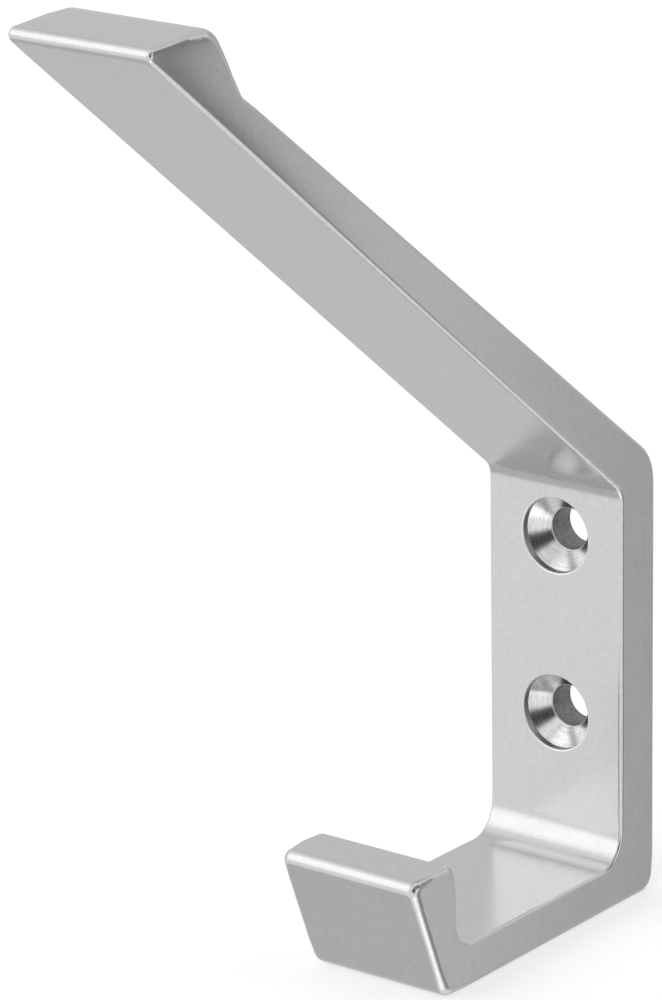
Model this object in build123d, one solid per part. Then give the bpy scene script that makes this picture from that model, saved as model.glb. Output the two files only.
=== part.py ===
"""Hat and coat hook: one slice of a solid aluminium profile, which screws to a wall.

Seen from the side it is a flat back plate with two countersunk holes. From its top a long arm
rises forward to a raised tip that holds a hat. From its foot a short base runs forward to a lip
that holds a coat loop. The same outline runs the whole width.

Frame: X runs across the width, -Y points into the room, +Z is up. The origin lies on the wall
face, midway between the two screw holes. Millimetres.
"""

import os
from math import cos, radians, sin, tan

from build123d import *

width = 20.0

# Back plate, which lies against the wall
plate_thickness = 7.1
plate_height = 56.7  # wall face, from the foot to the sharp bend corner
inner_bend_height = 53.75  # sharp corner between the plate's front and the arm's underside

# Base and lip of the coat hook
base_thickness = 5.6
base_reach = 44.0  # wall face to the sharp toe corner
lip_height = 16.7  # from the foot
lip_top_length = 9.0
lip_front_lean = 21.7  # degrees forward of upright
lip_inner_lean = 0.5

# Arm and tip of the hat peg
arm_under_rise = 39.0  # degrees above level
arm_upper_rise = 37.8
tip_front_height = 126.0  # from the foot to the sharp front corner
tip_top_length = 13.0
tip_top_rise = 3.4  # degrees that the top climbs towards the wall
tip_back_lean = 26.4  # degrees forward of upright

# Screw holes: a stepped countersink and a plain bore
screw_hole_spacing = 23.2
lower_hole_height = 23.35  # from the foot
bore_radius = 2.7
mouth_radius = 4.87
mouth_depth = 1.05
countersink_angle = 90.0
mouth_edge_radius = 0.2

# Rounded corners of the outline, seen from the side
heel_outer_radius = 2.4
bend_outer_radius = 6.3
tip_root_radius = 2.3
tip_back_radius = 3.9
tip_front_radius = 0.95
bend_inner_radius = 2.7
heel_inner_radius = 4.0
toe_inner_radius = 3.3
lip_back_radius = 1.6
lip_front_radius = 1.3
toe_outer_radius = 2.4

# Rounded long edges between the outline and the two cut sides, run by run
wall_edge = 0.45
arm_top_edge = 0.5
tip_rear_edge = 1.0
tip_top_edge = 0.68
arm_under_edge = 0.57
plate_edge = 0.54
base_floor_edge = 0.38
lip_inner_edge = 0.36
lip_top_edge = 0.58
lip_front_edge = 0.95
base_under_edge = 0.8

# The same edges where the outline turns a free corner, which the finishing has worn softer
heel_edge = 0.76
tip_back_edge = 1.27
tip_front_edge = 0.65
lip_back_edge = 0.87
lip_front_corner_edge = 1.1
toe_edge = 1.15
edge_blend_length = 2.4  # along the outline, from the corner's radius to the run's
cutter_overhang = 0.6  # how far an edge cutter stands outside the metal

# Heights in the frame of the wall face
foot_z = -(lower_hole_height + screw_hole_spacing / 2)
floor_z = foot_z + base_thickness
lip_top_z = foot_z + lip_height


def direction(degrees):
    """Unit vector in the side view: 0 points away from the wall's face, 90 points up."""
    return Vector(0, -cos(radians(degrees)), sin(radians(degrees)))


def at_height(start, rise, z):
    """Where the line through start at that rise reaches the height z."""
    along = direction(rise)
    return start + along * ((z - start.Z) / along.Z)


def meet(start_a, rise_a, start_b, rise_b):
    """Where two lines of the side view cross."""
    a, b = direction(rise_a), direction(rise_b)
    gap = start_b - start_a
    share = (gap.Y * b.Z - gap.Z * b.Y) / (a.Y * b.Z - a.Z * b.Y)
    return start_a + a * share


def sharp_corners():
    """The outline's corners before rounding, anticlockwise as seen from +X.

    Each is (point, outline radius, long edge radius there, long edge radius on the run after it).
    """
    heel_outer = Vector(0, 0, foot_z)
    bend_outer = Vector(0, 0, foot_z + plate_height)
    bend_inner = Vector(0, -plate_thickness, foot_z + inner_bend_height)
    tip_front = at_height(bend_inner, arm_under_rise, foot_z + tip_front_height)
    tip_back = tip_front + direction(180 - tip_top_rise) * tip_top_length
    tip_root = meet(bend_outer, arm_upper_rise, tip_back, 90 - tip_back_lean)
    heel_inner = Vector(0, -plate_thickness, floor_z)
    toe_outer = Vector(0, -base_reach, foot_z)
    lip_front = at_height(toe_outer, 90 - lip_front_lean, lip_top_z)
    lip_back = lip_front + Vector(0, lip_top_length, 0)
    toe_inner = at_height(lip_back, 90 - lip_inner_lean, floor_z)
    return [
        (heel_outer, heel_outer_radius, heel_edge, wall_edge),
        (bend_outer, bend_outer_radius, (wall_edge + arm_top_edge) / 2, arm_top_edge),
        (tip_root, tip_root_radius, (arm_top_edge + tip_rear_edge) / 2, tip_rear_edge),
        (tip_back, tip_back_radius, tip_back_edge, tip_top_edge),
        (tip_front, tip_front_radius, tip_front_edge, arm_under_edge),
        (bend_inner, bend_inner_radius, (arm_under_edge + plate_edge) / 2, plate_edge),
        (heel_inner, heel_inner_radius, (plate_edge + base_floor_edge) / 2, base_floor_edge),
        (toe_inner, toe_inner_radius, (base_floor_edge + lip_inner_edge) / 2, lip_inner_edge),
        (lip_back, lip_back_radius, lip_back_edge, lip_top_edge),
        (lip_front, lip_front_radius, lip_front_corner_edge, lip_front_edge),
        (toe_outer, toe_outer_radius, toe_edge, base_under_edge),
    ]


class RoundedCorner:
    """The arc that rounds one corner of the outline, and the edge radii it carries."""

    def __init__(self, before, corner, after, radius, edge_radius, run_radius):
        back = (before - corner).normalized()
        ahead = (after - corner).normalized()
        half_angle = radians(back.get_angle(ahead)) / 2
        reach = radius / tan(half_angle)
        self.start = corner + back * reach
        self.end = corner + ahead * reach
        self.centre = corner + (back + ahead).normalized() * (radius / sin(half_angle))
        self.middle = self.centre + (corner - self.centre).normalized() * radius
        turn = 180 - back.get_angle(ahead)
        self.turn = turn if ahead.cross(back).X > 0 else -turn
        self.edge_radius = edge_radius
        self.run_radius = run_radius


def rounded_corners():
    corners = sharp_corners()
    count = len(corners)
    return [
        RoundedCorner(corners[i - 1][0], point, corners[(i + 1) % count][0], *radii)
        for i, (point, *radii) in enumerate(corners)
    ]


def bar(corners):
    """The whole outline carried across the width, with square long edges."""
    with BuildLine() as outline:
        for before, here in zip([corners[-1]] + corners[:-1], corners):
            Line(before.end, here.start)
            ThreePointArc(here.start, here.middle, here.end)
    face = make_face(outline.line)
    return extrude(face, amount=width / 2, dir=(1, 0, 0), both=True)


def edge_section(point, heading, radius):
    """What a long edge loses at one point of the outline: a square corner less a quarter round."""
    outward = heading.cross(Vector(1, 0, 0))
    plane = Plane(origin=point + Vector(width / 2, 0, 0), x_dir=outward, z_dir=heading * -1)
    lean = radius * (1 - sin(radians(45)))
    with BuildSketch(plane) as section:
        with BuildLine():
            Polyline(
                (0, -radius),
                (cutter_overhang, -radius),
                (cutter_overhang, cutter_overhang),
                (-radius, cutter_overhang),
                (-radius, 0),
            )
            ThreePointArc((-radius, 0), (-lean, -lean), (0, -radius))
        make_face()
    return section.sketch


def edge_cutters(corners):
    """One cutter for each straight run and each rounded corner of the edge at +X."""
    cutters = []
    for here, after in zip(corners, corners[1:] + corners[:1]):
        run = after.start - here.end
        heading = run.normalized()
        blend = heading * min(edge_blend_length, run.length * 0.45)
        stations = [
            edge_section(here.end, heading, here.edge_radius),
            edge_section(here.end + blend, heading, here.run_radius),
            edge_section(after.start - blend, heading, here.run_radius),
            edge_section(after.start, heading, after.edge_radius),
        ]
        cutters.append(loft(stations, ruled=True))
        pivot = Axis(after.centre, (1, 0, 0) if after.turn > 0 else (-1, 0, 0))
        cutters.append(revolve(stations[-1], pivot, revolution_arc=abs(after.turn)))
    return cutters


def screw_hole(z):
    """The metal that one screw hole removes, turned about the screw's axis."""
    cone_depth = (mouth_radius - bore_radius) / tan(radians(countersink_angle / 2))
    front = -plate_thickness
    throat = front + mouth_depth + cone_depth
    with BuildSketch(Plane.XY) as section:
        with BuildLine():
            Polyline(
                (0, front - cutter_overhang),
                (mouth_radius, front - cutter_overhang),
                (mouth_radius, front + mouth_depth),
                (bore_radius, throat),
                (bore_radius, cutter_overhang),
                (0, cutter_overhang),
                (0, front - cutter_overhang),
            )
        make_face()
    return Pos(0, 0, z) * revolve(section.sketch, Axis.Y)


def mouth_edges(body):
    """The circles where the countersinks open in the plate's front."""
    circles = body.edges().filter_by(GeomType.CIRCLE)
    return [
        edge
        for edge in circles
        if abs(edge.radius - mouth_radius) < 0.01 and abs(edge.center().Y + plate_thickness) < 0.01
    ]


def hook_body():
    corners = rounded_corners()
    body = bar(corners)
    for cutter in edge_cutters(corners):
        body -= cutter
        body -= mirror(cutter, Plane.YZ)
    for z in (-screw_hole_spacing / 2, screw_hole_spacing / 2):
        body -= screw_hole(z)
    return fillet(mouth_edges(body), mouth_edge_radius)


os.makedirs("parts", exist_ok=True)
export_step(hook_body().solid(), "parts/hook_body.step")
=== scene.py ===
from math import cos, radians, sin

import bpy
from mathutils import Matrix, Vector


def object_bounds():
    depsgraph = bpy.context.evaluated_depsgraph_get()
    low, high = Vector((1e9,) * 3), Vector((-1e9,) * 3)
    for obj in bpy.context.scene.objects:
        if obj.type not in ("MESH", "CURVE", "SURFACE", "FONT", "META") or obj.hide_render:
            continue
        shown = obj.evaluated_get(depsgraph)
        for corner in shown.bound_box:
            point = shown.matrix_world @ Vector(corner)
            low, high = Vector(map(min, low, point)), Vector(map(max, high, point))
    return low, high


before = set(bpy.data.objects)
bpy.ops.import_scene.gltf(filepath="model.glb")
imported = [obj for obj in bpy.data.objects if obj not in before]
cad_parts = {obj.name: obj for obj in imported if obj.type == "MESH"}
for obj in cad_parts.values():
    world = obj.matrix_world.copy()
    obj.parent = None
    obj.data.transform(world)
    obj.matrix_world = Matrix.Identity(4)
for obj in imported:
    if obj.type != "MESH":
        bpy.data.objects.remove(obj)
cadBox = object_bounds()
scene = bpy.context.scene
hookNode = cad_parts["hook_body"]
print("frame loaded, CAD box", [tuple(round(v, 4) for v in corner) for corner in cadBox])


# Camera: long lens, slightly rolled, as the photograph was taken

cameraSetup = {
    "azimuth": 37.734,  # degrees round from straight in front
    "elevation": 18.012,
    "roll": -0.917,
    "distance": 0.6472,
    "aim": (-0.012367, -0.035985, 0.021609),
    "lens": 194.62,  # this and the sensor are in millimetres
    "sensorWidth": 36,
    "clipStart": 0.01,
}


def buildCamera(setup):
    azimuth, elevation, roll = (radians(setup[name]) for name in ("azimuth", "elevation", "roll"))
    back = Vector((sin(azimuth) * cos(elevation), -cos(azimuth) * cos(elevation), sin(elevation)))
    right = Vector((cos(azimuth), sin(azimuth), 0))
    up = back.cross(right)
    turnedRight = right * cos(roll) + up * sin(roll)
    turnedUp = up * cos(roll) - right * sin(roll)
    data = bpy.data.cameras.new("camera")
    data.lens = setup["lens"]
    data.sensor_width = setup["sensorWidth"]
    data.clip_start = setup["clipStart"]
    camera = bpy.data.objects.new("camera", data)
    scene.collection.objects.link(camera)
    place = Vector(setup["aim"]) + back * setup["distance"]
    turn = Matrix((turnedRight, turnedUp, back)).transposed().to_4x4()
    camera.matrix_world = Matrix.Translation(place) @ turn
    scene.camera = camera


buildCamera(cameraSetup)
print("camera placed")


# Materials: a node tree, with short ways to add nodes to it

noiseLow, noiseHigh = 0.3, 0.7  # most values of a noise texture lie between these
white = (1, 1, 1, 1)


class Shading:
    def __init__(self, owner):
        owner.use_nodes = True
        self.nodes, self.links = owner.node_tree.nodes, owner.node_tree.links
        self.nodes.clear()

    def put(self, socket, value):
        if isinstance(value, bpy.types.NodeSocket):
            self.links.new(value, socket)
        else:
            socket.default_value = value

    def node(self, kind, output=0, inputs=None, **settings):
        node = self.nodes.new(kind)
        for name, value in settings.items():
            setattr(node, name, value)
        for key, value in (inputs or {}).items():
            self.put(node.inputs[key], value)
        return node.outputs[output] if len(node.outputs) else node

    def math(self, operation, *values):
        return self.node("ShaderNodeMath", operation=operation, inputs=dict(enumerate(values)))

    def step(self, value, low, high, atLow=0.0, atHigh=1.0):
        inputs = {"Value": value, "From Min": low, "From Max": high, "To Min": atLow, "To Max": atHigh}
        return self.node("ShaderNodeMapRange", interpolation_type="SMOOTHSTEP", inputs=inputs)

    def edge(self, value, place, blend):  # 0 where the blend begins, 1 where it ends
        return self.step(value, place + blend[0], place + blend[1])

    def vary(self, noise, spread, middle=0.0):  # a level that the noise moves by up to the spread
        return self.step(noise, noiseLow, noiseHigh, middle - spread, middle + spread)

    def mix(self, share, first, second):
        return self.node("ShaderNodeMix", inputs={"Factor": share, "A": first, "B": second})

    def both(self, *shares):
        total = shares[0]
        for share in shares[1:]:
            total = self.math("MULTIPLY", total, share)
        return total

    def less(self, share):
        return self.math("SUBTRACT", 1.0, share)

    def joined(self, x, y, z):
        return self.node("ShaderNodeCombineXYZ", inputs={0: x, 1: y, 2: z})

    def noise(self, where, scale, detail):
        return self.node("ShaderNodeTexNoise", inputs={"Vector": where, "Scale": scale, "Detail": detail})

    def bump(self, height, distance, normal=None):
        inputs = {"Strength": 1.0, "Distance": distance, "Height": height}
        if normal:
            inputs["Normal"] = normal
        return self.node("ShaderNodeBump", inputs=inputs)

    def metal(self, reflectance, roughness, normal):  # neutral grey
        color = self.node("ShaderNodeCombineColor", inputs=dict.fromkeys(range(3), reflectance))
        inputs = {"Base Color": color, "Metallic": 1.0, "Roughness": roughness, "Normal": normal}
        return self.node("ShaderNodeBsdfPrincipled", inputs=inputs)


def newMaterial(name):
    material = bpy.data.materials.new(name)
    return material, Shading(material)


# Studio: white floor, and a pale room with brighter and darker panels round it

def buildSheet(name, corners, materialName):
    mesh = bpy.data.meshes.new(name)
    mesh.from_pydata(corners, [], [(0, 1, 2, 3)])
    sheet = bpy.data.objects.new(name, mesh)
    scene.collection.objects.link(sheet)
    material, s = newMaterial(materialName)
    mesh.materials.append(material)
    return sheet, s


floorSetup = {
    "halfSize": 3.0,
    "paper": 0.86,
    "lift": 0.40,  # what the camera sees on top of the lit paper, so that bare paper is white
}


def buildFloor(setup):
    low, size = cadBox[0].z, setup["halfSize"]
    corners = [(-size, -size, low), (size, -size, low), (size, size, low), (-size, size, low)]
    floor, s = buildSheet("floor", corners, "floorPaper")
    seen = s.node("ShaderNodeLightPath", "Is Camera Ray")
    lift = s.math("MULTIPLY", seen, setup["lift"])
    glow = s.node("ShaderNodeEmission", inputs={"Strength": lift})
    paper = s.node("ShaderNodeBsdfDiffuse", inputs={"Color": (setup["paper"],) * 3 + (1,)})
    surface = s.node("ShaderNodeAddShader", inputs={0: paper, 1: glow})
    s.node("ShaderNodeOutputMaterial", inputs={"Surface": surface})
    floor.visible_glossy = False  # the metal mirrors the room below, as it would hanging on a wall
    floor.visible_shadow = False


# Each panel: its direction, its brightness beside white = 1, and the angles from its middle at
# which it is still full and already gone. A later panel covers the earlier ones
roomSetup = {
    "level": 0.86,
    "seenLevel": 1.0,  # what the camera sees instead
    "panels": {
        "softbox": ((-0.58, -0.66, 0.48), 1.33, 13, 38),
        "rearLow": ((-0.58, 0.46, -0.67), 0.63, 20, 36),
        "rearHigh": ((-0.30, 0.72, 0.62), 0.66, 30, 46),
        "left": ((-0.95, 0.10, 0.10), 0.71, 15, 35),
        "frontLow": ((-0.50, -0.25, -0.83), 0.54, 18, 32),
        "rear": ((0.05, 0.99, -0.05), 0.45, 20, 34),
        "behind": ((-0.15, 0.93, -0.33), 0.48, 26, 38),
        "rearRight": ((0.60, 0.76, -0.20), 0.56, 20, 36),
        "rightLow": ((0.83, 0.38, -0.42), 0.26, 8, 26),
        "rightHigh": ((0.62, -0.30, 0.72), 0.24, 8, 24),
        "rightFront": ((0.70, -0.63, 0.30), 0.03, 13, 28),
        "lowStrip": ((0.47, -0.30, -0.83), 1.36, 6, 22),
    },
}


def buildWorld(setup):
    world = bpy.data.worlds.new("studio")
    scene.world = world
    s = Shading(world)
    toward = s.node("ShaderNodeTexCoord", "Generated")
    level = setup["level"]
    for direction, brightness, fullAngle, goneAngle in setup["panels"].values():
        inputs = {0: toward, 1: Vector(direction).normalized()}
        near = s.node("ShaderNodeVectorMath", "Value", inputs, operation="DOT_PRODUCT")
        share = s.step(near, cos(radians(goneAngle)), cos(radians(fullAngle)))
        level = s.mix(share, level, brightness)
    seen = s.node("ShaderNodeLightPath", "Is Camera Ray")
    strength = s.mix(seen, level, setup["seenLevel"])
    background = s.node("ShaderNodeBackground", inputs={"Color": white, "Strength": strength})
    s.node("ShaderNodeOutputWorld", inputs={"Surface": background})


# Cards beside the hook, which only the metal mirrors: distance to the right, then the spans
# along Y and Z, and the level. Dark ones shade the tip and plate, a paler one the arm and lip
cardSetup = {
    "aboveTip": (0.20, (-0.060, 0.170), (0.055, 0.300), 0.22),
    "besideTip": (0.20, (0.080, 0.122), (-0.080, 0.055), 0.11),
    "besidePlate": (0.20, (0.240, 0.340), (-0.300, -0.050), 0.40),
    "besideArm": (0.20, (0.160, 0.228), (-0.200, -0.010), 0.66),
}


def buildCard(name, right, spanY, spanZ, level):
    corners = [(right, spanY[i], spanZ[j]) for i, j in ((0, 0), (1, 0), (1, 1), (0, 1))]
    card, s = buildSheet(name, corners, name)
    glow = s.node("ShaderNodeEmission", inputs={"Color": white, "Strength": level})
    s.node("ShaderNodeOutputMaterial", inputs={"Surface": glow})
    card.visible_camera = card.visible_diffuse = card.visible_shadow = False


buildFloor(floorSetup)
buildWorld(roomSetup)
for name, values in cardSetup.items():
    buildCard(name, *values)
print("studio built")


# Finish: satin anodised metal with turned countersinks and rough bores. Lengths in metres.
# Masks begin at the same sizes as the part's own holes

holeSetup = {
    "plateFront": 0.0071,  # in front of the wall face
    "axisHeight": 0.0116,  # of the upper hole, and as far down for the lower one
    "mouthRadius": 0.00487,
    "mouthDepth": 0.00105,
    "boreRadius": 0.0027,
    # Where the blends into the next finish begin and end, from the edge that each belongs to
    "mouthBlend": (0.00012, 0.00002),
    "frontBlend": (0.00012, 0.00018),
    "wallBlend": (-0.00004, 0.00002),
    "throatBlend": (-0.00003, 0.00005),
    "boreBlend": (0.00009, 0.00002),
    "mouthRimRadius": (0.00022, 0.00014),
    "mouthRimFront": (-0.0002, -0.0001),
    "boreRimRadius": (0.00014, 0.00006),
    "boreRimFront": (-0.00016, -0.00008),
    "boreRimBack": (0.00008, 0.00002),
}


class Places:  # where a point lies on the hook, and about the axis of the nearer hole
    def __init__(self, s, hole):
        self.point = s.node("ShaderNodeTexCoord", "Object")
        split = s.node("ShaderNodeSeparateXYZ", inputs={"Vector": self.point}).node.outputs
        self.across, self.inward, self.upward = split["X"], split["Y"], split["Z"]
        self.aside = s.math("ABSOLUTE", self.across)
        self.depth = s.math("ADD", self.inward, hole["plateFront"])
        self.above = s.math("SUBTRACT", s.math("ABSOLUTE", self.upward), hole["axisHeight"])
        squares = [s.math("MULTIPLY", value, value) for value in (self.across, self.above)]
        self.radius = s.math("SQRT", s.math("ADD", *squares))


def holeMasks(s, at, hole):
    mouth, bore, wallFoot = hole["mouthRadius"], hole["boreRadius"], hole["mouthDepth"]
    throat = wallFoot + mouth - bore  # the cone narrows as fast as it deepens
    inMouth = s.edge(at.radius, mouth, hole["mouthBlend"])
    inBore = s.edge(at.radius, bore, hole["boreBlend"])
    belowFront = s.edge(at.depth, 0, hole["frontBlend"])
    belowWall = s.edge(at.depth, wallFoot, hole["wallBlend"])
    belowCone = s.edge(at.depth, throat, hole["throatBlend"])
    mouthRim = s.both(
        s.edge(at.radius, mouth, hole["mouthRimRadius"]),
        s.less(belowFront),
        s.edge(at.depth, 0, hole["mouthRimFront"]),
    )
    boreRim = s.both(
        s.edge(at.radius, bore, hole["boreRimRadius"]),
        s.edge(at.depth, throat, hole["boreRimFront"]),
        s.edge(at.depth, throat, hole["boreRimBack"]),
    )
    # The wall mask takes painted shade and the rims mask a painted highlight
    return {
        "cone": s.both(inMouth, belowWall, s.less(belowCone)),
        "wall": s.both(inMouth, belowFront, s.less(belowWall)),
        "bore": s.both(inBore, belowCone),
        "rims": s.math("MAXIMUM", mouthRim, boreRim),
    }


# Tip: its sides fall away softly from two lines of the side view, where the edges are worn. Each
# line has a point (Y, Z), a tilt in degrees, and the metal above it (1) or below it (-1)
tipSetup = {
    "underside": {"point": (-0.0071, 0.0188), "tilt": 39.0, "metal": 1},
    "top": {"point": (-0.09632, 0.09105), "tilt": 3.4, "metal": -1},
    "depth": 0.00036,  # how far the side falls away
    "reach": 0.0018,
    "heights": (0.045, 0.085),  # where the wear begins on the way up, and where it is full
}


def fallFrom(s, at, reach, point, tilt, metal):  # 1 on the line, and fading into the metal
    sideY, sideZ = sin(radians(tilt)), metal * cos(radians(tilt))
    inside = s.math("ADD", s.math("MULTIPLY", at.inward, sideY), s.math("MULTIPLY", at.upward, sideZ))
    inside = s.math("SUBTRACT", inside, point[0] * sideY + point[1] * sideZ)
    return s.math("EXPONENT", s.math("MULTIPLY", inside, -1 / reach))


def softTip(s, at, setup):
    falls = [fallFrom(s, at, setup["reach"], **setup[line]) for line in ("underside", "top")]
    softness = s.both(s.math("ADD", *falls), s.step(at.upward, *setup["heights"]))
    return s.bump(s.math("MULTIPLY", softness, -1.0), setup["depth"])


# Satin body: fine grain, mottling and faint clouds, a few pits, and long edges worn a little
# brighter and slightly uneven
satinSetup = {
    "reflectance": 0.72,
    "roughness": 0.2,
    "halfWidth": 0.01,  # of the hook
    "grain": {"scale": 5200, "detail": 3},
    "grainTone": 0.022,
    "grainHeight": 0.000006,
    "mottle": {"scale": 1100, "detail": 2},
    "mottleTone": 0.013,
    "clouds": {"scale": 260, "detail": 3},
    "cloudTone": 0.006,
    "cloudRoughness": 0.012,
    "pits": {"scale": 2600, "detail": 1},
    "pitLevels": (0.74, 0.78),  # the noise levels where pits begin and are full
    "pitTone": 0.12,
    "wear": {"scale": 900, "detail": 2},
    "wearLevels": (0.5, 0.66),
    "wearTone": 0.05,
    "nicks": {"scale": 1500, "detail": 3},
    "nickHeight": 0.00002,
    # Blends measured from the flat sides: the rounded edges, and what keeps wear and nicks on them
    "edgeBlend": (-0.0006, -0.0002),
    "sideBlend": (-0.00005, -0.00001),
    "nickBlend": (-0.00002, -0.00015),
}


def satinBody(s, at, grain, setup, soft):
    mottle = s.noise(at.point, **setup["mottle"])
    clouds = s.noise(at.point, **setup["clouds"])
    pits = s.step(s.noise(at.point, **setup["pits"]), *setup["pitLevels"])
    nearEdge = s.edge(at.aside, setup["halfWidth"], setup["edgeBlend"])
    onSide = s.edge(at.aside, setup["halfWidth"], setup["sideBlend"])
    wear = s.step(s.noise(at.point, **setup["wear"]), *setup["wearLevels"])
    worn = s.both(nearEdge, s.less(onSide), wear)
    tone = s.math("ADD", s.vary(clouds, setup["cloudTone"]), s.vary(grain, setup["grainTone"]))
    tone = s.math("ADD", tone, s.vary(mottle, setup["mottleTone"]))
    tone = s.math("ADD", tone, s.math("MULTIPLY", worn, setup["wearTone"]))
    tone = s.math("SUBTRACT", tone, s.math("MULTIPLY", pits, setup["pitTone"]))
    tone = s.math("ADD", tone, setup["reflectance"])
    roughness = s.math("ADD", s.vary(clouds, setup["cloudRoughness"]), setup["roughness"])
    offSide = s.edge(at.aside, setup["halfWidth"], setup["nickBlend"])
    nicks = s.both(nearEdge, offSide, s.noise(at.point, **setup["nicks"]))
    uneven = s.bump(nicks, setup["nickHeight"], soft)
    return s.metal(tone, roughness, s.bump(grain, setup["grainHeight"], uneven))


# Turned cone: rings that follow the radius and change slowly round the hole, and a few scratches
coneSetup = {
    "reflectance": 0.86,
    "roughness": 0.22,
    "ringTone": 0.10,
    "ringHeight": 0.0000050,
    "ringDetail": 3,
    "changeRound": 1.6,  # how fast the rings change round the hole
    "changeOut": 9000.0,  # and with the radius
    "scratches": {"scale": 4200, "detail": 1},
    "scratchLevels": (0.64, 0.72),
    "scratchTone": 0.30,
}


def turnedCone(s, at, setup):
    aroundX, aroundZ = (
        s.math("MULTIPLY", s.math("DIVIDE", value, at.radius), setup["changeRound"])
        for value in (at.across, at.above)
    )
    outward = s.math("MULTIPLY", at.radius, setup["changeOut"])
    rings = s.noise(s.joined(aroundX, aroundZ, outward), 1.0, setup["ringDetail"])
    tone = s.vary(rings, setup["ringTone"], setup["reflectance"])
    scratches = s.step(s.noise(at.point, **setup["scratches"]), *setup["scratchLevels"])
    tone = s.math("SUBTRACT", tone, s.math("MULTIPLY", scratches, setup["scratchTone"]))
    return s.metal(tone, setup["roughness"], s.bump(rings, setup["ringHeight"]))


# Drilled bore: dull, with short marks that run round it. Its low reflectance is partly the dull drilled
# metal and partly painted shade inside the hole
boreSetup = {
    "reflectance": 0.27,
    "roughness": 0.42,
    "markTone": 0.08,
    "markHeight": 0.000003,
    "markDetail": 4,
    "changeRound": 2400.0,
    "changeAlong": 5200.0,
}


def drilledBore(s, at, setup):
    aroundX, aroundZ = (s.math("MULTIPLY", value, setup["changeRound"]) for value in (at.across, at.above))
    along = s.math("MULTIPLY", at.depth, setup["changeAlong"])
    marks = s.noise(s.joined(aroundX, along, aroundZ), 1.0, setup["markDetail"])
    tone = s.vary(marks, setup["markTone"], setup["reflectance"])
    return s.metal(tone, setup["roughness"], s.bump(marks, setup["markHeight"]))


# Mouth walls are rougher than the plate, and darker as painted shade inside the mouth. The rims are
# bright, partly a worn edge and partly a painted highlight of the rounded hole edges. Both have the body's
# grain
wallShadeRimHighlightSetup = {
    "wall": {"reflectance": 0.58, "roughness": 0.34},
    "rims": {"reflectance": 0.95, "roughness": 0.45},
}


def buildFinish():
    material, s = newMaterial("satinAluminium")
    at = Places(s, holeSetup)
    masks = holeMasks(s, at, holeSetup)
    grain = s.noise(at.point, **satinSetup["grain"])
    finish = satinBody(s, at, grain, satinSetup, softTip(s, at, tipSetup))
    # The bore's dark tone is partly painted shade
    layers = {"cone": turnedCone(s, at, coneSetup), "bore": drilledBore(s, at, boreSetup)}
    # Mouth wall with painted shade, rims with a painted highlight
    for name, values in wallShadeRimHighlightSetup.items():
        layers[name] = s.metal(**values, normal=s.bump(grain, satinSetup["grainHeight"]))
    for name in ("cone", "wall", "bore", "rims"):  # each lies over the ones before it
        finish = s.node("ShaderNodeMixShader", inputs={0: masks[name], 1: finish, 2: layers[name]})
    s.node("ShaderNodeOutputMaterial", inputs={"Surface": finish})
    return material


hookNode.material_slots[0].link = "OBJECT"
hookNode.material_slots[0].material = buildFinish()
print("finish set")

scene.view_settings.view_transform = "Standard"
